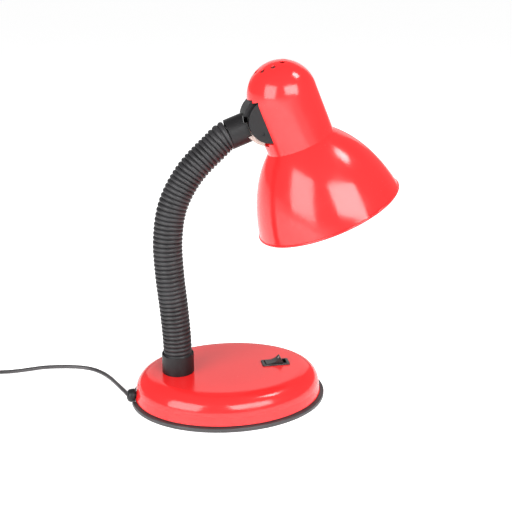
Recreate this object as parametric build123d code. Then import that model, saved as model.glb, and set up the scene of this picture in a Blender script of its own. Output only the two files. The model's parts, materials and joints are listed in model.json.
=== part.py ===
from build123d import *
from math import cos, pi, radians, sin, sqrt, tan
import os

# A flexible-neck desk lamp with a bell shade, in millimetres, +Z up.
# The origin is on the table under the middle of the base. +X runs from the neck to the switch.

# ---- driving dimensions ----
RIM_A, RIM_B = 100.0, 80.0            # half length and half width of the base at its black rim
COVER_A, COVER_B = 96.0, 76.0         # the red cover, at its lower edge
COVER_DRAFT = 1.6                     # how much the cover's wall leans in over its height
COVER_BOTTOM, COVER_TOP = 5.6, 32.2
COVER_ROUND = 18.5                    # radius of the big rounded shoulder
COVER_WALL = 2.4
PAD_THICK = 1.2                       # soft pad that the base stands on
PLATE_BOTTOM, PLATE_TOP = PAD_THICK, 4.9

NECK_X = -51.3                        # where the neck stands on the base
COLLAR_RADIUS, COLLAR_TOP = 16.1, 52.4
SLEEVE_RADIUS, SLEEVE_BORE = 14.6, 10.2   # ribbed cover of the neck, over its ribs, and its inside
CONDUIT_RADIUS, CONDUIT_BORE = 4.5, 3.0   # wound steel tube that holds the neck's shape
NECK_PIVOTS = [                       # x, z of each bending point, from the base up
    (-51.7, 67.9), (-54.0, 102.6), (-57.0, 137.3), (-57.7, 172.1),
    (-51.6, 206.2), (-34.9, 236.5), (-10.8, 261.5),
]
SLEEVE_GAP, CONDUIT_GAP = 4.0, 1.6    # room at each bending point

SHADE_TILT = 22.7                     # lean of the shade's axis from the vertical
RIM_CENTRE = (101.7, 0.0, 194.0)      # middle of the shade's open rim
RIM_RADIUS = 73.3
NECK_RADIUS = 33.5                    # straight upper part of the shade
FLARE_TOP, DOME_START = 76.0, 123.5
SHADE_LENGTH = DOME_START + NECK_RADIUS   # the crown is a half ball
SHADE_WALL = 1.0

PIVOT_OUT, PIVOT_UP = 21.2, 109.5     # tilt pivot: out from the shade's axis, and up from its rim
CHEEK_RADIUS, CHEEK_INSIDE, CHEEK_OUTSIDE = 20.8, 12.4, 19.9
TONGUE_RADIUS, TONGUE_HALF = 24.8, 12.0
TONGUE_BACK, TONGUE_FRONT = 6, 57      # how far it reaches to each side of the arm, in degrees
WEB_FRONT = 31                        # the bracket's web starts this far behind the arm
PIVOT_SCREW_RADIUS = 2.0
SCREW_SHIFT = -3.0                    # the tongue's screws sit this far below the arm's axis
ARM_LENGTH, ARM_RADIUS = 39.7, 14.5   # from the tilt pivot to the mouth of the upper sleeve
ARM_ANGLE = 201.3                     # its direction seen from the tilt pivot, in the XZ plane

HOLDER_RADIUS, THREAD_RADIUS = 16.2, 13.1
HOLDER_BOTTOM, HOLDER_TOP, THREAD_TOP = 80.0, 118.0, 105.0
STRAP_LEVEL, STRAP_THICK = 133.0, 1.5
STRAP_SCREW_OUT = 24

SWITCH_X = 49.5
BEZEL_LONG, BEZEL_WIDE, BEZEL_TOP = 28.5, 14.0, 33.7
ROCKER_HALF_LONG, ROCKER_HALF_WIDE, ROCKER_THROW = 8.1, 4.7, 20.0
ROCKER_TOP, ROCKER_PIVOT_Z = 9.1, 28.5

CORD_RADIUS = 2.1
GLAND_Z, GLAND_RADIUS = 8.4, 6.8
CORD_ROUTE = [                        # from the gland, down to the table and along it to the coil
    (-103.7, 3.0, 8.7), (-109.2, 16.5, 9.0), (-114.8, 36.0, 6.3), (-120.5, 54.5, 3.9),
    (-127.8, 70.5, 2.3), (-138.5, 83.0, 2.2), (-154.0, 91.0, 2.3), (-172.5, 95.2, 2.3),
    (-192.0, 96.8, 2.4), (-209.0, 93.6, 2.4), (-226.0, 91.2, 2.5), (-243.0, 92.6, 2.7),
    (-262.0, 92.6, 2.8),
]
COIL_X, COIL_Y, COIL_MID, COIL_HALF = -273.0, 64.3, 24.0, 7.4
COIL_BOTTOM, COIL_TOP = 0.7, 17.6
TAIL_ROUTE = [                        # from the top of the coil down to the plug
    (-299.5, 54.7, 15.3), (-297.0, 42.0, 14.0), (-294.0, 27.0, 9.5), (-291.0, 11.0, 6.5),
]
PLUG_BACK_Y, PLUG_X, PLUG_LEVEL = 12.0, -291.2, 6.3


# ---- helpers ----
def save(name, *solids):
    """Writes one node: a single solid, or a group of identical separate ones."""
    shape = solids[0] if len(solids) == 1 else Compound(children=list(solids))
    shape.label = name
    export_step(shape, os.path.join("parts", name + ".step"))


def disc(radius, low, high, x=0.0, y=0.0):
    """An upright cylinder between two levels."""
    return Pos(x, y, (low + high) / 2) * Cylinder(radius, high - low)


def tube(outer, inner, low, high, x=0.0, y=0.0):
    return disc(outer, low, high, x, y) - disc(inner, low - 1, high + 1, x, y)


def block(x_low, x_high, y_half, low, high):
    middle = Pos((x_low + x_high) / 2, 0, (low + high) / 2)
    return middle * Box(x_high - x_low, 2 * y_half, high - low)


def oval(half_long, half_wide, low, high, x=0.0):
    return Pos(x, 0, low) * extrude(Ellipse(half_long, half_wide), high - low)


def across(radius, y_low, y_high, x=0.0, z=0.0):
    """A cylinder lying along Y."""
    return Pos(x, (y_low + y_high) / 2, z) * Rot(90, 0, 0) * Cylinder(radius, y_high - y_low)


def hex_nut(flats, bore, low, high, x=0.0):
    body = extrude(RegularPolygon(flats / sqrt(3), 6), high - low)
    return Pos(x, 0, low) * body - disc(bore, low - 1, high + 1, x)


def frame_along(start, end):
    """A plane at start whose Z axis points to end; both are x, z pairs in the plane y = 0."""
    way = Vector(end[0] - start[0], 0, end[1] - start[1])
    return Plane(origin=(start[0], 0, start[1]), x_dir=(0, 1, 0), z_dir=way)


def corner_radii(points):
    """The largest even bend at each corner of a route: 0.45 of the shorter run sets it."""
    radii = []
    for before, here, after in zip(points, points[1:], points[2:]):
        run_in, run_out = Vector(*here) - Vector(*before), Vector(*after) - Vector(*here)
        turn = radians(run_in.get_angle(run_out))
        radii.append(0.45 * min(run_in.length, run_out.length) / tan(turn / 2))
    return radii


def routed(points, radius, radii=None):
    """A round tube along straight runs joined by tangent arcs."""
    path = FilletPolyline(*points, radius=radii or corner_radii(points))
    start = Plane(origin=path @ 0, z_dir=path % 0)
    return sweep(start * Circle(radius), path=path), path


# ---- base ----
PLATE_SCREWS = [(58, 40), (58, -40), (-58, 40), (-58, -40)]


def cover_form(inset):
    """The outside of the cover, or the space inside it when inset is the wall's thickness."""
    low = COVER_BOTTOM if inset == 0 else COVER_BOTTOM - 2
    top, bend = COVER_TOP - inset, COVER_ROUND - inset
    levels = [(low, 0), (top - bend, COVER_DRAFT)]
    for step in range(1, 7):
        angle = radians(15 * step)
        levels.append((top - bend + bend * sin(angle), COVER_DRAFT + bend * (1 - cos(angle))))
    sections = []
    for level, lean in levels:
        oval_here = Ellipse(COVER_A - inset - lean, COVER_B - inset - lean)
        sections.append(Pos(0, 0, level) * oval_here)
    return loft(sections[:2], ruled=True) + loft(sections[1:])


def base_cover():
    outside = cover_form(0)
    cover = outside - cover_form(COVER_WALL)
    for x, y in PLATE_SCREWS:
        boss = disc(4.5, PLATE_TOP + 0.1, COVER_TOP, x, y) & outside
        cover += boss
    for x, y in PLATE_SCREWS:
        cover -= disc(1.6, PLATE_TOP, 20, x, y)
    cover -= disc(5.2, 20, 40, NECK_X)
    cover -= Pos(SWITCH_X, 0, COVER_TOP) * Box(25.6, 12.6, 12)
    gland_hole = Pos(-COVER_A, 0, GLAND_Z) * Rot(0, 90, 0) * Cylinder(4.5, 20)
    return cover - gland_hole


def bottom_plate():
    rim = oval(RIM_A, RIM_B, PLATE_BOTTOM, PLATE_TOP)
    rim = fillet(rim.faces().sort_by(Axis.Z)[-1].edges(), 1.2)
    ring = oval(92.2, 72.2, PLATE_TOP - 0.5, 8.8) - oval(90.0, 70.0, PLATE_TOP - 1, 10)
    plate = rim + ring
    plate -= block(-97, -87, 8, 4.2, 14.4) + block(-102, -96.1, 7.4, 0, 10)
    plate += block(-85, -79, 12, 4.6, 7.6)
    plate -= Pos(-82, 0, GLAND_Z) * Rot(0, 90, 0) * Cylinder(CORD_RADIUS + 0.05, 8)
    for y in (-8.5, 8.5):
        plate -= disc(1.3, 3, 12, -82, y)
    for x, y in PLATE_SCREWS:
        plate -= disc(2.2, 0, 8, x, y) + disc(4.2, 0, 3.2, x, y)
    return plate


def ballast_weight():
    weight = oval(73, 56, PLATE_TOP + 0.2, 17, 5)
    weight -= block(28, 68, 9, 0, 30)
    for x, y in PLATE_SCREWS:
        weight -= disc(6, 0, 30, x, y)
    return weight


def plate_screw(x, y):
    return disc(3.8, 1.4, 3.2, x, y) + disc(1.5, 3.0, 17, x, y) - Pos(x, y, 1.4) * Box(5, 1, 1.6)


def base_pad():
    pad = oval(90, 70, 0, PAD_THICK)
    return chamfer(pad.faces().sort_by(Axis.Z)[0].edges(), 0.4)


# ---- rocker switch ----
def switch_housing():
    low = COVER_TOP
    bezel = Pos(SWITCH_X, 0, (low + BEZEL_TOP) / 2) * Box(BEZEL_LONG, BEZEL_WIDE, BEZEL_TOP - low)
    bezel = fillet(bezel.edges().filter_by(Axis.Z), 1.5)
    bezel = fillet(bezel.faces().sort_by(Axis.Z)[-1].edges(), 0.9)
    body = Pos(SWITCH_X, 0, (low + 12) / 2 + 0.5) * Box(25.2, 12, low - 12 + 1)
    well = Pos(SWITCH_X, 0, 28) * Box(22.8, 10, 16)
    return bezel + body - well - across(1.46, -5.7, 5.7, SWITCH_X, ROCKER_PIVOT_Z)


def rocker_form():
    """The rocker in its middle position: a shallow valley between two raised ends."""
    left, right = (-ROCKER_HALF_LONG, 0, ROCKER_TOP), (ROCKER_HALF_LONG, 0, ROCKER_TOP)
    low_left, low_right = (-9.6, 0, 0.5), (9.6, 0, 0.5)
    valley = ThreePointArc(left, (0, 0, ROCKER_TOP - 2.3), right)
    keel = ThreePointArc(low_right, (0, 0, -7.5), low_left)
    outline = [valley, Line(right, low_right), keel, Line(low_left, left)]
    body = extrude(make_face(outline), ROCKER_HALF_WIDE, both=True)
    body = fillet(body.edges().group_by(Axis.Z)[-1], 0.6)
    return body + across(1.4, -5.5, 5.5)


def on_rocker(shape):
    return Pos(SWITCH_X, 0, ROCKER_PIVOT_Z) * Rot(0, -ROCKER_THROW, 0) * shape


MARK_PLACE = Pos(6.4, 0, ROCKER_TOP - 0.9) * Rot(0, -24, 0)


def rocker():
    return on_rocker(rocker_form() - MARK_PLACE * Cylinder(1.05, 1.6))


def rocker_mark():
    return on_rocker(MARK_PLACE * Pos(0, 0, -0.35) * Cylinder(1.0, 0.8))


def switch_terminal(x):
    return Pos(x, 0, 9.6) * Box(0.8, 4.8, 4.8)


# ---- neck ----
def neck_collar():
    cup = disc(COLLAR_RADIUS, COVER_TOP, COLLAR_TOP, NECK_X)
    cup = chamfer(cup.faces().sort_by(Axis.Z)[0].edges(), 0.4)
    cup -= disc(SLEEVE_RADIUS + 0.3, 35.4, 60, NECK_X)
    cup = fillet(cup.faces().sort_by(Axis.Z)[-1].edges(), 0.5)
    return cup - disc(5.15, 30, 40, NECK_X)


def neck_ferrule():
    return disc(8, 35.5, 52, NECK_X) - disc(5.05, 35, 44.2, NECK_X) - disc(4.55, 44, 53, NECK_X)


def pivot_plane(index):
    """The plane across the neck at a bending point, facing up the neck."""
    points = neck_line()
    before, here, after = points[index:index + 3]
    up = Vector(here[0] - before[0], 0, here[1] - before[1]).normalized()
    on = Vector(after[0] - here[0], 0, after[1] - here[1]).normalized()
    return Plane(origin=(here[0], 0, here[1]), x_dir=(0, 1, 0), z_dir=up + on)


def arm_mouth():
    angle = radians(ARM_ANGLE)
    pivot = shade_point(-PIVOT_OUT, PIVOT_UP)
    return pivot[0] + ARM_LENGTH * cos(angle), pivot[1] + ARM_LENGTH * sin(angle)


def neck_line():
    """x, z of the neck's foot, its bending points and the mouth of the upper sleeve."""
    return [(NECK_X, 35.6)] + NECK_PIVOTS + [arm_mouth()]


def neck_piece(index, outer, inner, gap, foot, stop):
    """One straight length of tube between two bending points, cut square to the neck at both."""
    points = neck_line()
    place = frame_along(points[index], points[index + 1])
    run = (Vector(*points[index + 1]) - Vector(*points[index])).length
    low = foot if index == 0 else -15
    high = run + 15 if index + 2 < len(points) else run + stop
    piece = place.location * tube(outer, inner, low, high)
    reach = 60
    if index > 0:
        below = pivot_plane(index - 1).offset(gap / 2 - reach / 2)
        piece -= below.location * Box(reach, reach, reach)
    if index + 2 < len(points):
        above = pivot_plane(index).offset(reach / 2 - gap / 2)
        piece -= above.location * Box(reach, reach, reach)
    return piece


def neck_cover(index):
    piece = neck_piece(index, SLEEVE_RADIUS, SLEEVE_BORE, SLEEVE_GAP, 0, 15)
    return piece - arm(Pos(0, 0, 25) * Box(60, 60, 50.6)) if index == 7 else piece


def neck_conduit(index):
    piece = neck_piece(index, CONDUIT_RADIUS, CONDUIT_BORE, CONDUIT_GAP, 8.9, 15)
    return piece - arm(Pos(0, 0, 25) * Box(60, 60, 50.6)) if index == 7 else piece


# ---- upper sleeve and tilt joint ----
def arm(shape):
    """Places a shape drawn on the upper sleeve's own axis: Z from its mouth to the tilt pivot."""
    pivot = shade_point(-PIVOT_OUT, PIVOT_UP)
    return frame_along(arm_mouth(), pivot).location * shape


def at_pivot(shape):
    pivot = shade_point(-PIVOT_OUT, PIVOT_UP)
    return Pos(pivot[0], 0, pivot[1]) * shape


def upper_sleeve():
    cup = arm(disc(ARM_RADIUS, 0, 31))
    cup = fillet(cup.edges().sort_by(Axis.X)[0], 0.8)
    cup -= arm(disc(12.9, -1, 8))
    cup -= at_pivot(across(CHEEK_RADIUS + 0.6, -20, 20))
    cup -= at_pivot(across(TONGUE_RADIUS + 0.4, -CHEEK_INSIDE - 0.4, CHEEK_INSIDE + 0.4))
    for side in (-6, 6):
        cup -= arm(disc(1.6, 7, 16, side, SCREW_SHIFT))
    return cup


def sector(radius, first, last, half=TONGUE_HALF):
    """A pie slice about the tilt pivot, from one angle to another in the XZ plane."""
    slices = 3
    points = [(0, 0)]
    for step in range(slices + 1):
        angle = radians(first + (last - first) * step / slices)
        points.append((2 * radius * cos(angle), 2 * radius * sin(angle)))
    fan = extrude(Plane.XZ * make_face(Polyline(*points, close=True)), half, both=True)
    return fan & across(radius, -half, half)


def swivel_tongue():
    thick = sector(TONGUE_RADIUS, ARM_ANGLE - TONGUE_BACK, ARM_ANGLE + TONGUE_FRONT)
    thin = sector(15.2, ARM_ANGLE - 51, ARM_ANGLE - TONGUE_BACK + 1)
    boss = across(4.0, -TONGUE_HALF, TONGUE_HALF)
    tongue = at_pivot(thick + thin + boss - across(PIVOT_SCREW_RADIUS + 0.06, -20, 20))
    for side in (-6, 6):
        tongue -= arm(disc(1.3, 10, 24, side, SCREW_SHIFT))
    return tongue


def arm_ferrule():
    return arm(tube(8, CONDUIT_RADIUS, 0.6, 7.4))


def tongue_screw(side):
    head = disc(2.6, 7.42, 8.0, side, SCREW_SHIFT)
    return arm(head + disc(1.2, 7.9, 22, side, SCREW_SHIFT))


# ---- shade ----
SHADE_PLANE = Plane(
    origin=RIM_CENTRE,
    x_dir=(cos(radians(SHADE_TILT)), 0, sin(radians(SHADE_TILT))),
    z_dir=(-sin(radians(SHADE_TILT)), 0, cos(radians(SHADE_TILT))),
)


def in_shade(shape):
    """Places a shape drawn upright on the shade's own axis, with its rim at Z = 0."""
    return SHADE_PLANE.location * shape


def shade_point(out, up):
    """x, z of a point given by its distance out from the shade's axis and up from the rim."""
    lean = radians(SHADE_TILT)
    x = RIM_CENTRE[0] + out * cos(lean) - up * sin(lean)
    return x, RIM_CENTRE[2] + out * sin(lean) + up * cos(lean)


def bell_line(wall):
    """Half of the bell's outline from rim to crown, drawn in by a wall's thickness."""
    flare = Spline(
        (RIM_RADIUS - wall, 0, 0), (68.4 - wall, 0, 18.8), (61.3 - 1.1 * wall, 0, 37.5),
        (50.8 - 1.2 * wall, 0, 56.3), (NECK_RADIUS - wall, 0, FLARE_TOP - wall),
    )
    radius = NECK_RADIUS - wall
    neck = Line(flare @ 1, (radius, 0, DOME_START))
    halfway = (radius * cos(pi / 4), 0, DOME_START + radius * sin(pi / 4))
    dome = ThreePointArc(neck @ 1, halfway, (0, 0, DOME_START + radius))
    return [flare, neck, dome]


def shade_shell():
    outside, inside = bell_line(0), bell_line(SHADE_WALL)
    crown = Line((0, 0, SHADE_LENGTH), (0, 0, SHADE_LENGTH - SHADE_WALL))
    rim = Line((RIM_RADIUS, 0, 0), (RIM_RADIUS - SHADE_WALL, 0, 0))
    shell = revolve(make_face([*outside, crown, *inside, rim]), Axis.Z)
    shell = Rot(0, 0, 67) * shell
    for step in range(8):
        angle = radians(45 * step)
        shell -= Pos(14 * cos(angle), 14 * sin(angle), 150) * Cylinder(2.5, 30)
    window_low, window_high = PIVOT_UP - CHEEK_RADIUS - 0.3, PIVOT_UP + CHEEK_RADIUS + 0.3
    shell -= block(-45, -20, CHEEK_OUTSIDE + 0.2, window_low, window_high)
    shell -= block(-45, -20, CHEEK_INSIDE + 0.3, window_low - 2.3, window_high + 2.9)
    bead = Pos(0, 0, 1.1) * Torus(RIM_RADIUS - SHADE_WALL / 2, 1.1)
    return in_shade(shell + bead)


def tilt_bracket():
    pivot = Pos(-PIVOT_OUT, 0, PIVOT_UP)
    cheeks = pivot * across(CHEEK_RADIUS, -CHEEK_OUTSIDE, CHEEK_OUTSIDE)
    cheeks &= block(-60, -HOLDER_RADIUS - 0.4, CHEEK_OUTSIDE, 60, 140)
    cheeks = fillet(cheeks.edges().filter_by(GeomType.CIRCLE), 0.6)
    cheeks -= block(-60, -10, CHEEK_INSIDE, 60, 140)
    web = pivot * sector(TONGUE_RADIUS, 95, ARM_ANGLE - SHADE_TILT - WEB_FRONT, CHEEK_INSIDE)
    web &= block(-60, -10, 30, 60, STRAP_LEVEL)
    inner_wall = NECK_RADIUS - SHADE_WALL - 0.2
    ring = tube(inner_wall, inner_wall - 2.2, 92, DOME_START + 2.4)
    ring &= block(-40, -15, 25, 92, STRAP_LEVEL)
    ring -= block(-60, -10, CHEEK_INSIDE, 60, PIVOT_UP + 7)
    shelf = disc(inner_wall - 1.6, 125.6, STRAP_LEVEL)
    shelf &= block(-40, -STRAP_SCREW_OUT + 4, 16, 125.6, STRAP_LEVEL)
    body = cheeks + web + ring + shelf
    body -= pivot * across(15.9, -CHEEK_INSIDE, CHEEK_INSIDE)
    body -= pivot * across(PIVOT_SCREW_RADIUS + 0.05, -20, 20)
    body -= pivot * across(4.0, -20, -14)
    nut_room = Rot(90, 0, 0) * extrude(RegularPolygon(4.15, 6), 3, both=True)
    body -= pivot * Pos(0, 17, 0) * nut_room
    for side in (-CHEEK_OUTSIDE, CHEEK_OUTSIDE):
        body -= across(1.8, side - 1.2, side + 1.2, -32.5, 101.6)
    for y in (-9, 9):
        body -= disc(1.3, 126.5, 140, -STRAP_SCREW_OUT, y)
    return in_shade(body)


def pivot_screw():
    pivot = Pos(-PIVOT_OUT, 0, PIVOT_UP)
    screw = across(PIVOT_SCREW_RADIUS, -14.5, 15.8) + across(3.7, -15.9, -14.05)
    slot = Pos(0, -15.9, 0) * Box(5, 1.6, 1)
    return in_shade(pivot * (screw - slot))


def pivot_nut():
    nut = Rot(90, 0, 0) * extrude(RegularPolygon(4.04, 6), 0.9, both=True)
    nut = Pos(0, 14.95, 0) * nut - across(PIVOT_SCREW_RADIUS, 10, 20)
    return in_shade(Pos(-PIVOT_OUT, 0, PIVOT_UP) * nut)


def friction_washer(side):
    face, hole = 12.2 * side, PIVOT_SCREW_RADIUS + 0.1
    washer = across(4.0, face - 0.17, face + 0.17) - across(hole, face - 1, face + 1)
    return in_shade(Pos(-PIVOT_OUT, 0, PIVOT_UP) * washer)


# ---- lampholder ----
def holder_strap():
    strap = block(-31, 12, 13, STRAP_LEVEL, STRAP_LEVEL + STRAP_THICK)
    strap &= disc(NECK_RADIUS - SHADE_WALL - 2.2, 130, 140)
    strap -= disc(5.1, 130, 140)
    for y in (-9, 9):
        strap -= disc(1.7, 130, 140, -STRAP_SCREW_OUT, y)
    return in_shade(strap)


def strap_screw(y):
    low = STRAP_LEVEL + STRAP_THICK
    thread = disc(1.25, 127.5, low + 0.5, -STRAP_SCREW_OUT, y)
    return in_shade(thread + disc(2.2, low, low + 1.6, -STRAP_SCREW_OUT, y))


def holder_nipple():
    return in_shade(tube(4.95, 3.5, 124, 141))


def holder_nut():
    low = STRAP_LEVEL + STRAP_THICK
    return in_shade(hex_nut(14, 5.0, low + 0.02, low + 4))


def holder_cap():
    outline = Polyline(
        (5.0, 0, 132.9), (9.0, 0, 132.9), (10.0, 0, 128), (14.6, 0, 121.5), (15.4, 0, 118.1),
        (13.4, 0, 118.1), (12.7, 0, 120.6), (8.5, 0, 126), (5.0, 0, 126), close=True,
    )
    return in_shade(revolve(make_face(outline), Axis.Z))


def holder_body():
    body = disc(HOLDER_RADIUS, HOLDER_BOTTOM, HOLDER_TOP)
    body = fillet(body.faces().sort_by(Axis.Z)[0].edges(), 1.0)
    body -= disc(14.0, HOLDER_BOTTOM - 1, 110.0)
    for step in range(24):
        angle = 15 * step
        body -= Rot(0, 0, angle) * Pos(HOLDER_RADIUS + 0.25, 0, 90) * Cylinder(0.7, 14)
    body -= disc(1.6, 105, 120)
    return in_shade(body)


def thread_shell():
    return in_shade(tube(13.9, THREAD_RADIUS, HOLDER_BOTTOM + 2, THREAD_TOP))


def centre_contact():
    return in_shade(disc(5.0, 108.4, 109.2) + disc(1.5, 109, 115))


# ---- cord, gland, plug ----
def lying(shape):
    """Turns an upright shape so that its Z axis points out of the base, along -X."""
    return Pos(-COVER_A, 0, GLAND_Z) * Rot(0, -90, 0) * shape


def cord_gland():
    knob = disc(GLAND_RADIUS, 0.35, 8.6)
    knob = fillet(knob.faces().sort_by(Axis.Z)[-1].edges(), 5.0)
    knob = fillet(knob.faces().sort_by(Axis.Z)[0].edges(), 0.8)
    stem = disc(4.0, -9, 1)
    inner_flange = disc(5.6, -9, -5.4) & Pos(0, 0, -7) * Box(8, 14, 6)
    return lying(knob + stem + inner_flange)


def cord_clamp():
    bar = block(-85, -79, 12, GLAND_Z, GLAND_Z + 3.2)
    bar -= Pos(-82, 0, GLAND_Z) * Rot(0, 90, 0) * Cylinder(CORD_RADIUS + 0.05, 8)
    for y in (-8.5, 8.5):
        bar -= disc(1.4, 6, 16, -82, y)
    return bar


def clamp_screw(y):
    head = disc(2.4, GLAND_Z + 3.2, GLAND_Z + 4.8, -82, y)
    return head + disc(1.2, 4.0, GLAND_Z + 3.4, -82, y)


def inner_cord():
    return Pos(-82.9, 0, GLAND_Z) * Rot(0, 90, 0) * Cylinder(CORD_RADIUS, 8)


def lead(points):
    return routed(points, 0.9, [2.5] * (len(points) - 2))[0]


FEED_LEAD = [(-78.9, 1.1, GLAND_Z), (-73, 1.1, GLAND_Z), (-73, 1.1, 19.4), (-64, 8, 19.4),
             (22, 8, 19.4), (32, 1, 19.4), (32, 1, 9.4), (42.9, 1, 9.4)]
NEUTRAL_LEAD = [(-78.9, -1.1, GLAND_Z), (-73, -1.1, GLAND_Z), (-73, -1.1, 19.4),
                (NECK_X, -1.1, 19.4), (NECK_X, -1.1, 33)]
RETURN_LEAD = [(58.1, -1.5, 9.4), (66.4, -1.5, 9.4), (66.4, -9, 19.4), (-40, -9, 19.4),
               (-49.6, 1.3, 19.6), (-49.6, 1.3, 33)]


def cord_coil():
    size = (2 * COIL_HALF, COIL_TOP - COIL_BOTTOM)
    section = Plane.XZ * (Pos(COIL_MID, (COIL_TOP + COIL_BOTTOM) / 2) * RectangleRounded(*size, 2.0))
    return Pos(COIL_X, COIL_Y, 0) * revolve(section, Axis.Z)


def cord_tie():
    wide, tall, band = 2 * COIL_HALF, COIL_TOP - COIL_BOTTOM, 0.65
    outer = RectangleRounded(wide + 2 * band, tall + 2 * band, 2.6)
    ring = outer - RectangleRounded(wide + 0.06, tall + 0.06, 2.0)
    section = Plane.XZ * (Pos(COIL_MID, (COIL_TOP + COIL_BOTTOM) / 2) * ring)
    return Pos(COIL_X, COIL_Y, 0) * Rot(0, 0, -50) * revolve(section, Axis.Z, 18)


def along_plug(shape):
    """Turns an upright shape so that its Z axis points out of the back of the plug, along -Y."""
    return Pos(PLUG_X, PLUG_BACK_Y, PLUG_LEVEL) * Rot(90, 0, 0) * shape


def plug_body():
    body = loft([
        Pos(0, 0, 10) * RectangleRounded(17, 11.6, 4.5),
        Pos(0, 0, 19) * RectangleRounded(25.5, 12.6, 4.5),
        Pos(0, 0, 35) * RectangleRounded(26, 12.6, 4.5),
    ], ruled=True)
    tail = loft([Circle(3.2), Pos(0, 0, 10.5) * Circle(4.8)])
    return along_plug(body + tail - Cylinder(CORD_RADIUS + 0.05, 16))


def plug_pin(x):
    pin = Pos(x, 0, 44.5) * Cylinder(2.0, 19.0)
    return along_plug(fillet(pin.faces().sort_by(Axis.Z)[-1].edges(), 1.2))


# ---- build every node ----
os.makedirs("parts", exist_ok=True)

save("base_cover", base_cover())
save("bottom_plate", bottom_plate())
save("ballast_weight", ballast_weight())
save("plate_screws", *[plate_screw(x, y) for x, y in PLATE_SCREWS])
save("base_pad", base_pad())
save("switch_housing", switch_housing())
save("switch_terminals", *[switch_terminal(x) for x in (43.4, 57.6)])
save("switch_rocker", rocker())
save("rocker_mark", rocker_mark())

save("neck_collar", neck_collar())
save("neck_nipple", tube(4.95, 3.4, 22, 44, NECK_X))
save("neck_nut", hex_nut(15, 5.0, 24.6, 28.5, NECK_X))
save("neck_washer", tube(9.5, 5.1, 28.6, 29.7, NECK_X))
save("neck_ferrule", neck_ferrule())
for number in range(8):
    save(f"neck_cover_{number}", neck_cover(number))
    save(f"neck_conduit_{number}", neck_conduit(number))

save("upper_sleeve", upper_sleeve())
save("arm_ferrule", arm_ferrule())
save("swivel_tongue", swivel_tongue())
save("tongue_screws", tongue_screw(-6), tongue_screw(6))

save("shade_shell", shade_shell())
save("tilt_bracket", tilt_bracket())
save("pivot_screw", pivot_screw())
save("pivot_nut", pivot_nut())
save("friction_washers", friction_washer(-1), friction_washer(1))
save("holder_strap", holder_strap())
save("strap_screws", strap_screw(-9), strap_screw(9))
save("holder_nipple", holder_nipple())
save("holder_nut", holder_nut())
save("holder_cap", holder_cap())
save("holder_body", holder_body())
save("thread_shell", thread_shell())
save("centre_contact", centre_contact())

save("cord_gland", cord_gland())
save("cord_clamp", cord_clamp())
save("clamp_screws", clamp_screw(-8.5), clamp_screw(8.5))
save("inner_cord", inner_cord())
save("feed_lead", lead(FEED_LEAD))
save("neutral_lead", lead(NEUTRAL_LEAD))
save("return_lead", lead(RETURN_LEAD))

total = 0
for name, route in (("power_cord", CORD_ROUTE), ("cord_tail", TAIL_ROUTE)):
    solid, path = routed(route, CORD_RADIUS)
    save(name, solid)
    total += path.length
    print(name, "bends", [round(r) for r in corner_radii(route)], "length", round(path.length))
    print("  volume", round(solid.volume), "section times length", round(pi * CORD_RADIUS**2 * path.length))
print("length left for the coil", round(1800 - total))
save("cord_coil", cord_coil())
save("cord_tie", cord_tie())
save("plug_body", plug_body())
save("plug_pins", plug_pin(-9.3), plug_pin(9.3))
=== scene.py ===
import json
from math import cos, pi, radians, sin

import bpy
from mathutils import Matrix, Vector


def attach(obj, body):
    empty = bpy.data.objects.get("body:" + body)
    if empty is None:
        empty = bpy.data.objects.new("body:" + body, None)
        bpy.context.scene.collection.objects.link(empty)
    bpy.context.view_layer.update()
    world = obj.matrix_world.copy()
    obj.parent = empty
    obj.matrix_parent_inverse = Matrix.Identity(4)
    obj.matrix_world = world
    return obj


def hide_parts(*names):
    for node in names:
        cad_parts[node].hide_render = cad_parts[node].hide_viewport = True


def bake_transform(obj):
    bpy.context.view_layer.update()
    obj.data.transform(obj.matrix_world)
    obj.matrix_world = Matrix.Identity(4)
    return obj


# A flexible-neck desk lamp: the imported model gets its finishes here, and its neck sleeve and
# its lead get their real shapes. Everything is in metres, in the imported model's own frame.

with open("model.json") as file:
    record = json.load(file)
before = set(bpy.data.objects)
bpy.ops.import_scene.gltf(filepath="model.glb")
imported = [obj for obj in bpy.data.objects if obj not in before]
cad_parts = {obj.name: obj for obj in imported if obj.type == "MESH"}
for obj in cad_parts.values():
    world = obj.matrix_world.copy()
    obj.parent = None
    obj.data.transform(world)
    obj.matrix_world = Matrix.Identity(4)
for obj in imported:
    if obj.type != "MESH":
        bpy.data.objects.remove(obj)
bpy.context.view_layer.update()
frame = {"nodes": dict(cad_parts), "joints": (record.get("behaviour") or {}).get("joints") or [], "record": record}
scene = bpy.context.scene
MM = 0.001


def millimetres(*numbers):
    return Vector(numbers) * MM


# ---- camera ----
eye = bpy.data.cameras.new("eye")
eye.lens = 60.75
eye.sensor_width = 36.0
eye.clip_end = 60.0
camera = bpy.data.objects.new("camera", eye)
camera.location = millimetres(-116.6, -802.1, 418.0)
camera.rotation_euler = (radians(71.82), 0, radians(-10.3))
scene.collection.objects.link(camera)
scene.camera = camera


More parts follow.
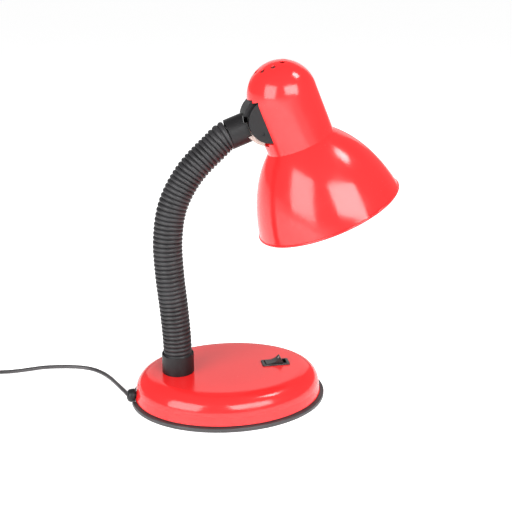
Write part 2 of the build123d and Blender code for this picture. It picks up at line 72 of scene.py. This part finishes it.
# ---- the lead: from the gland to the table, along it, and into a coil put away ----
LEAD_RADIUS = 2.1
LEAD_ROUTE = [
    (-103.7, 3.0, 8.7), (-109.2, 16.5, 9.0), (-114.8, 36.0, 6.3), (-120.5, 54.5, 3.9),
    (-127.8, 70.5, 2.3), (-138.5, 83.0, 2.2), (-154.0, 91.0, 2.3), (-172.5, 95.2, 2.3),
    (-192.0, 96.8, 2.4), (-209.0, 93.6, 2.4), (-226.0, 91.2, 2.5), (-243.0, 92.6, 2.7),
    (-262.0, 92.6, 2.8),
]
TAIL_ROUTE = [
    (-299.5, 54.7, 15.3), (-297.0, 42.0, 14.0), (-294.0, 27.0, 9.5), (-291.0, 11.0, 6.5),
]
COIL_X, COIL_Y = -273.0, 64.3
COIL_RADII = (28.2, 24.0, 19.8)        # outer, middle and inner turn of each layer
COIL_LEVELS = (2.8, 7.0, 11.2, 15.4)   # height of each layer
STEP_ANGLE = radians(325)              # the lead steps to the next turn a little earlier each time
STEP_SPAN = radians(35)
STEP_START = radians(303)
COIL_ANGLE = radians(3710)
TURN_POINTS = 20


def eased(value):
    value = min(max(value, 0.0), 1.0)
    return value * value * (3 - 2 * value)


def coil_points():
    """The turns, laid inwards and outwards in turn, one layer on another."""
    places = []
    for layer, level in enumerate(COIL_LEVELS):
        radii = COIL_RADII if layer % 2 == 0 else COIL_RADII[::-1]
        places += [(radius, level) for radius in radii]
    points = []
    count = round(COIL_ANGLE / (2 * pi) * TURN_POINTS)
    outset = 1 / cos(pi / TURN_POINTS)
    for number in range(1, count):
        angle = COIL_ANGLE * number / count
        radius, level = places[0]
        for step, (next_radius, next_level) in enumerate(places[1:]):
            share = eased((angle - STEP_START - step * STEP_ANGLE) / STEP_SPAN)
            radius += (next_radius - radius) * share
            level += (next_level - level) * share
        turned = pi / 2 + angle
        across, along = outset * radius * cos(turned), outset * radius * sin(turned)
        points.append((COIL_X + across, COIL_Y + along, level))
    return points


def lead_curve():
    curve = bpy.data.curves.new("mains_lead", "CURVE")
    curve.dimensions = "3D"
    line = curve.splines.new("NURBS")
    route = LEAD_ROUTE + coil_points() + TAIL_ROUTE
    line.points.add(len(route) - 1)
    for point, place in zip(line.points, route):
        point.co = (*millimetres(*place), 1.0)
        point.radius = LEAD_RADIUS * MM
    line.order_u = 3
    line.use_endpoint_u = True
    line.resolution_u = 6
    curve.bevel_depth = 1.0        # the radius of each point gives the thickness
    curve.bevel_resolution = 5
    curve.use_fill_caps = True
    lead = bpy.data.objects.new("mains_lead", curve)
    scene.collection.objects.link(lead)
    return lead


mains_lead = lead_curve()
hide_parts("power_cord", "cord_coil", "cord_tail")
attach(mains_lead, "base")


# ---- shader expressions ----
class Reading:
    """A value that varies over a surface: one socket, with the arithmetic that is used on it."""

    def __init__(self, finish, socket):
        self.finish = finish
        self.socket = socket

    def sum_up(self, operation, first, second):
        return self.finish.node("ShaderNodeMath", {"operation": operation}, {0: first, 1: second})

    def __add__(self, other):
        return self.sum_up("ADD", self, other)

    def __radd__(self, other):
        return self.sum_up("ADD", other, self)

    def __sub__(self, other):
        return self.sum_up("SUBTRACT", self, other)

    def __rsub__(self, other):
        return self.sum_up("SUBTRACT", other, self)

    def __mul__(self, other):
        return self.sum_up("MULTIPLY", self, other)

    def __rmul__(self, other):
        return self.sum_up("MULTIPLY", other, self)


class Finish:
    """One material, made from nodes."""

    def __init__(self, name, **settings):
        self.material = bpy.data.materials.new(name)
        self.material.use_nodes = True
        self.nodes = self.material.node_tree.nodes
        self.links = self.material.node_tree.links
        self.nodes.clear()
        self.shader = self.nodes.new("ShaderNodeBsdfPrincipled")
        output = self.nodes.new("ShaderNodeOutputMaterial")
        self.links.new(self.shader.outputs["BSDF"], output.inputs["Surface"])
        for socket, value in settings.items():
            self.shader.inputs[socket.replace("_", " ")].default_value = value
        self.place = self.node("ShaderNodeTexCoord", output="Object")

    def node(self, kind, settings=None, sockets=None, output=0):
        made = self.nodes.new(kind)
        for name, value in (settings or {}).items():
            if name == "stops":
                self.set_stops(made.color_ramp, value)
            else:
                setattr(made, name, value)
        for name, value in (sockets or {}).items():
            self.feed(made.inputs[name], value)
        return Reading(self, made.outputs[output])

    def feed(self, socket, value):
        if isinstance(value, Reading):
            self.links.new(value.socket, socket)
        else:
            socket.default_value = value

    def set_stops(self, ramp, stops):
        for number, (position, level) in enumerate(stops):
            if number < 2:
                stop = ramp.elements[number]
                stop.position = position
            else:
                stop = ramp.elements.new(position)
            stop.color = (level, level, level, 1)

    def set(self, **sockets):
        for name, value in sockets.items():
            self.feed(self.shader.inputs[name.replace("_", " ")], value)
        return self

    def noise(self, per_metre, detail=2.0, roughness=0.5, place=None):
        sockets = {"Vector": place or self.place, "Scale": per_metre}
        sockets |= {"Detail": detail, "Roughness": roughness}
        return self.node("ShaderNodeTexNoise", None, sockets, "Fac")

    def cells(self, per_metre):
        sockets = {"Vector": self.place, "Scale": per_metre}
        return self.node("ShaderNodeTexVoronoi", None, sockets, "Distance")

    def ramp(self, value, *stops):
        return self.node("ShaderNodeValToRGB", {"stops": stops}, {"Fac": value})

    def stretched(self, x, y, z):
        """The place, with its scale changed along each axis."""
        return self.node("ShaderNodeVectorMath", {"operation": "MULTIPLY"}, {0: self.place, 1: (x, y, z)})

    def colours(self, amount, first, second):
        ends = {"Factor": amount, "A": (*first, 1), "B": (*second, 1)}
        mix = self.nodes.new("ShaderNodeMix")
        mix.data_type = "RGBA"
        for socket in mix.inputs:
            if socket.enabled and socket.name in ends:
                self.feed(socket, ends[socket.name])
        return Reading(self, next(socket for socket in mix.outputs if socket.enabled))

    def bump(self, height, depth, strength=1.0):
        """A raised pattern, depth in metres for a height of 1."""
        sockets = {"Height": height, "Distance": depth, "Strength": strength}
        return self.node("ShaderNodeBump", None, sockets, "Normal")


# ---- finishes ----
def glossy_red(name, deep, bright, ripple_depth, **settings):
    """A glossy coloured coat: slow colour drift, a faint orange-peel ripple and fine handling haze."""
    finish = Finish(name, **settings)
    drift = finish.noise(9, 3)
    haze = finish.ramp(finish.noise(38, 4, 0.6), (0.42, 0.0), (0.75, 1.0))
    specks = finish.ramp(finish.noise(900, 1), (0.70, 0.0), (0.78, 1.0))
    ripple = finish.noise(210, 1) + finish.noise(60, 1) * 1.5
    return finish.set(
        Base_Color=finish.colours(drift, deep, bright),
        Roughness=0.13 + 0.10 * haze + 0.12 * specks,
        Normal=finish.bump(ripple, ripple_depth),
    )


def moulded_black(name, tone, roughness, grain_per_metre, grain_depth, **settings):
    """Black moulded plastic: a fine spark-eroded grain, a little dust and slightly rubbed patches."""
    finish = Finish(name, **settings)
    rubbed = finish.ramp(finish.noise(26, 4, 0.6), (0.40, 0.0), (0.72, 1.0))
    dust = finish.ramp(finish.noise(300, 3, 0.7), (0.52, 0.0), (0.80, 1.0))
    grain = finish.noise(grain_per_metre, 3, 0.6)
    dark = tuple(value * 0.72 for value in tone)
    light = tuple(value * 1.45 + 0.003 for value in tone)
    return finish.set(
        Base_Color=finish.colours(0.45 * rubbed + 0.45 * dust, dark, light),
        Roughness=roughness + 0.12 * dust - 0.10 * rubbed,
        Normal=finish.bump(grain, grain_depth),
    )


def plain_metal(name, dull, clean, roughness, brushing, depth, **settings):
    """Turned, drawn or plated metal: fine lines along one way, and stains that dull it."""
    finish = Finish(name, Metallic=1.0, **settings)
    lines = finish.noise(600, 2, 0.6, finish.stretched(*brushing))
    stain = finish.ramp(finish.noise(70, 4, 0.6), (0.38, 0.0), (0.70, 1.0))
    return finish.set(
        Base_Color=finish.colours(stain, clean, dull),
        Roughness=roughness + 0.16 * stain + 0.10 * lines,
        Normal=finish.bump(lines, depth),
    )


def cast_grey(name):
    finish = Finish(name)
    sand = finish.noise(420, 4, 0.7)
    rust = finish.ramp(finish.noise(45, 4, 0.6), (0.55, 0.0), (0.75, 1.0))
    return finish.set(
        Base_Color=finish.colours(rust, (0.11, 0.105, 0.10), (0.19, 0.09, 0.05)),
        Roughness=0.62 + 0.25 * rust,
        Metallic=0.55 - 0.5 * rust,
        Normal=finish.bump(sand, 0.0004),
    )


def foam(name):
    finish = Finish(name)
    cells = finish.cells(900)
    worn = finish.noise(40, 3)
    return finish.set(
        Base_Color=finish.colours(worn, (0.03, 0.03, 0.031), (0.075, 0.073, 0.072)),
        Roughness=0.85 + 0.1 * worn,
        Normal=finish.bump(cells, 0.0003),
    )


def soft_skin(name, dark, light, roughness, fold_per_metre=240):
    """Soft rubber or PVC: a slight bloom on it, and a drawn skin with tiny folds."""
    finish = Finish(name)
    bloom = finish.ramp(finish.noise(55, 4, 0.6), (0.35, 0.0), (0.75, 1.0))
    skin = finish.noise(fold_per_metre * 6, 2)
    folds = finish.noise(fold_per_metre, 2)
    return finish.set(
        Base_Color=finish.colours(bloom, dark, light),
        Roughness=roughness + 0.14 * bloom - 0.05 * folds,
        Normal=finish.bump(skin + 2 * folds, 0.00004),
    )


RED_DEEP, RED_BRIGHT = (0.80, 0.016, 0.017), (0.88, 0.026, 0.027)
FINISHES = {
    "red_cover": glossy_red("red_cover", RED_DEEP, RED_BRIGHT, 0.00002, IOR=1.5),
    "red_shade": glossy_red("red_shade", RED_DEEP, RED_BRIGHT, 0.00002, IOR=1.52),
    "black_plastic": moulded_black(
        "black_plastic", (0.011, 0.0105, 0.0115), 0.46, 1500, 0.00006, Specular_IOR_Level=0.3
    ),
    "base_rim": moulded_black("base_rim", (0.045, 0.043, 0.045), 0.45, 1300, 0.00006),
    "bellows": soft_skin("bellows", (0.008, 0.0075, 0.0085), (0.022, 0.021, 0.023), 0.44),
    "switch_black": moulded_black("switch_black", (0.010, 0.010, 0.0105), 0.30, 2200, 0.00003),
    "mark_white": moulded_black("mark_white", (0.62, 0.61, 0.60), 0.35, 1800, 0.00002),
    "steel": plain_metal("steel", (0.36, 0.34, 0.31), (0.62, 0.62, 0.63), 0.26, (1, 1, 0.06), 0.00003),
    "iron": cast_grey("iron"),
    "brass": plain_metal("brass", (0.46, 0.30, 0.12), (0.78, 0.57, 0.25), 0.20, (1, 0.06, 1), 0.00002),
    "nylon": soft_skin("nylon", (0.46, 0.36, 0.32), (0.58, 0.47, 0.43), 0.42),
    "holder_black": moulded_black("holder_black", (0.020, 0.019, 0.019), 0.28, 1200, 0.00003),
    "pad": foam("pad"),
    "cord_grey": soft_skin("cord_grey", (0.036, 0.033, 0.035), (0.075, 0.070, 0.073), 0.36),
    "cord_tie": soft_skin("cord_tie", (0.012, 0.012, 0.012), (0.035, 0.034, 0.033), 0.50),
    "plug_black": moulded_black("plug_black", (0.040, 0.039, 0.041), 0.38, 1400, 0.00005),
    "lead_brown": soft_skin("lead_brown", (0.13, 0.05, 0.02), (0.21, 0.09, 0.04), 0.40),
    "lead_blue": soft_skin("lead_blue", (0.02, 0.08, 0.34), (0.04, 0.14, 0.45), 0.40),
}


def finish_cad_nodes():
    """Every CAD node takes the finish of its own slot in the record."""
    for part in frame["record"]["subparts"]:
        node = frame["nodes"][part["node"]]
        material = FINISHES[part["material_slot"]].material
        if not node.data.materials:
            node.data.materials.append(material)
        for slot in node.material_slots:
            slot.material = material


finish_cad_nodes()
mains_lead.data.materials.append(FINISHES["cord_grey"].material)


# ---- the ribbed sleeve of the neck ----
NECK_FOOT = millimetres(-51.3, 0, 36.0)
ARM_LENGTH, ARM_RISE = 39.7, radians(21.3)     # from the sleeve's upper end to the shade's swivel
SLEEVE_CREST, SLEEVE_GROOVE, SLEEVE_BORE = 14.5, 12.7, 10.6
RIB_PITCH = 4.4
RIB_RINGS = 10
AROUND = 72
LINE_STEPS = 40                        # points between one bend and the next on the centre line
BEND_MARGIN = 0.0035                   # the reach round each hinge stops this far short of the length's own ends, in metres
SWIVEL = next(Vector(joint["pos_m"]) for joint in frame["joints"] if joint["name"] == "shade_tilt")
BENDS = [joint for joint in frame["joints"] if joint["name"].startswith("neck_bend")]


class NeckLine:
    """The smooth centre line of the neck, measured along its length in metres."""

    def __init__(self):
        arm = Vector((cos(ARM_RISE), 0, sin(ARM_RISE)))
        mouth = SWIVEL - arm * ARM_LENGTH * MM
        bends = [Vector(joint["pos_m"]) for joint in BENDS]
        below, beyond = NECK_FOOT - millimetres(0, 0, 32), mouth + arm * 30 * MM
        fixed = [below, NECK_FOOT, *bends, mouth, beyond]
        self.places = [NECK_FOOT]
        for one, two, three, four in zip(fixed, fixed[1:], fixed[2:], fixed[3:]):
            for step in range(1, LINE_STEPS + 1):
                share = step / LINE_STEPS
                leaving, arriving = (three - one) / 2, (four - two) / 2
                self.places.append(
                    two * (2 * share**3 - 3 * share**2 + 1) + three * (3 * share**2 - 2 * share**3)
                    + leaving * (share**3 - 2 * share**2 + share) + arriving * (share**3 - share**2)
                )
        self.runs = [0.0]
        for here, after in zip(self.places, self.places[1:]):
            self.runs.append(self.runs[-1] + (after - here).length)
        self.bend_runs = [self.runs[LINE_STEPS * number] for number in range(1, len(bends) + 1)]
        self.length = self.runs[-1]

    def at(self, run):
        """The place, and the way the neck points, at a distance along it."""
        run = min(max(run, 0.0), self.length)
        number = next(i for i, reached in enumerate(self.runs[1:]) if reached >= run - 1e-9)
        here, after = self.places[number], self.places[number + 1]
        share = (run - self.runs[number]) / (self.runs[number + 1] - self.runs[number])
        way = (after - here).normalized()
        if share > 0.5 and number + 2 < len(self.places):
            way = way.lerp((self.places[number + 2] - after).normalized(), share - 0.5)
        elif share < 0.5 and number > 0:
            way = (here - self.places[number - 1]).normalized().lerp(way, share + 0.5)
        return here.lerp(after, share), way.normalized()


def linked_mesh(name, points, faces, smooth=True):
    mesh = bpy.data.meshes.new(name)
    mesh.from_pydata(points, [], faces)
    mesh.validate()
    if smooth:
        mesh.shade_smooth()
    piece = bpy.data.objects.new(name, mesh)
    scene.collection.objects.link(piece)
    return piece


def ring_loop_faces(rings, around):
    """Faces between each ring and the next, and from the last back to the first."""
    faces = []
    for ring in range(rings):
        low, high = ring * around, (ring + 1) % rings * around
        for number in range(around):
            beside = (number + 1) % around
            faces.append((low + number, low + beside, high + beside, high + number))
    return faces


def sleeve_length(name, line, first_rib, last_rib, pitch):
    """One length of the sleeve: round ribs with narrow grooves outside, a plain bore inside."""
    rings = []
    for rib in range(first_rib, last_rib):
        for step in range(RIB_RINGS):
            share = (1 - cos(pi * step / RIB_RINGS)) / 2
            swell = sin(pi * share) ** 0.6
            rings.append(((rib + share) * pitch, SLEEVE_GROOVE + (SLEEVE_CREST - SLEEVE_GROOVE) * swell))
    rings.append((last_rib * pitch, SLEEVE_GROOVE))
    rings += [(rib * pitch, SLEEVE_BORE) for rib in range(last_rib, first_rib - 1, -1)]
    points = []
    for run, radius in rings:
        place, way = line.at(run)
        out = Vector((way.z, 0, -way.x))
        for number in range(AROUND):
            angle = 2 * pi * number / AROUND
            points.append(place + (out * cos(angle) + Vector((0, 1, 0)) * sin(angle)) * radius * MM)
    return linked_mesh(name, points, ring_loop_faces(len(rings), AROUND))


def ribbed_sleeve():
    """One length round each hinge; each meets its neighbours in a groove, about halfway between two hinges."""
    line = NeckLine()
    ribs = round(line.length / (RIB_PITCH * MM))
    pitch = line.length / ribs
    middles = [(low + high) / 2 for low, high in zip(line.bend_runs, line.bend_runs[1:])]
    ends = [0, *[round(middle / pitch) for middle in middles], ribs]
    for number, joint in enumerate(BENDS):
        first, last = ends[number], ends[number + 1]
        piece = sleeve_length(f"neck_sleeve_{number + 1}", line, first, last, pitch)
        piece.data.materials.append(FINISHES["bellows"].material)
        bend = line.bend_runs[number]
        reach = min(bend - first * pitch, last * pitch - bend) - BEND_MARGIN
        start, end = (line.at(bend + way * reach)[0] for way in (-1, 1))
        covers = [f"neck_cover_{number + 1}"] + (["neck_cover_0"] if number == 0 else [])
        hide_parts(*covers)
        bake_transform(piece)


ribbed_sleeve()


# ---- floor and light ----
def pale_floor():
    reach = 40.0
    corners = [(-reach, -reach, 0), (reach, -reach, 0), (reach, reach, 0), (-reach, reach, 0)]
    floor = linked_mesh("floor", corners, [(0, 1, 2, 3)], smooth=False)
    finish = Finish("floor_white", Roughness=0.75)
    tint = finish.noise(3, 2)
    finish.set(Base_Color=finish.colours(tint, (0.93, 0.93, 0.93), (0.95, 0.95, 0.95)))
    finish.set(Emission_Color=(1, 1, 1, 1), Emission_Strength=0.74)
    floor.data.materials.append(finish.material)


def soft_light(name, heading, rise, distance, width, height, power, target=(0.03, 0, 0.22)):
    """A soft box at a compass heading (from +Y towards +X) and a rise, both in degrees."""
    turned, raised = radians(heading), radians(rise)
    out = Vector((sin(turned) * cos(raised), cos(turned) * cos(raised), sin(raised)))
    lamp = bpy.data.lights.new(name, "AREA")
    lamp.shape = "RECTANGLE"
    lamp.size, lamp.size_y = width, height
    lamp.energy = power
    holder = bpy.data.objects.new(name, lamp)
    holder.location = Vector(target) + out * distance
    holder.rotation_euler = out.to_track_quat("Z", "Y").to_euler()
    scene.collection.objects.link(holder)


def white_surroundings(strength):
    world = bpy.data.worlds.new("white_room")
    world.use_nodes = True
    background = world.node_tree.nodes["Background"]
    background.inputs["Color"].default_value = (1, 1, 1, 1)
    background.inputs["Strength"].default_value = strength
    scene.world = world


pale_floor()
soft_light("left_box", -129, 18, 1.5, 1.0, 1.05, 22)
soft_light("right_box", 159, 26, 1.5, 1.1, 0.7, 22)
soft_light("high_box", 105, 57, 1.5, 0.35, 0.35, 6)
soft_light("back_box", 8, 22, 2.5, 2.6, 1.3, 8)
white_surroundings(0.26)
scene.view_settings.view_transform = "Standard"
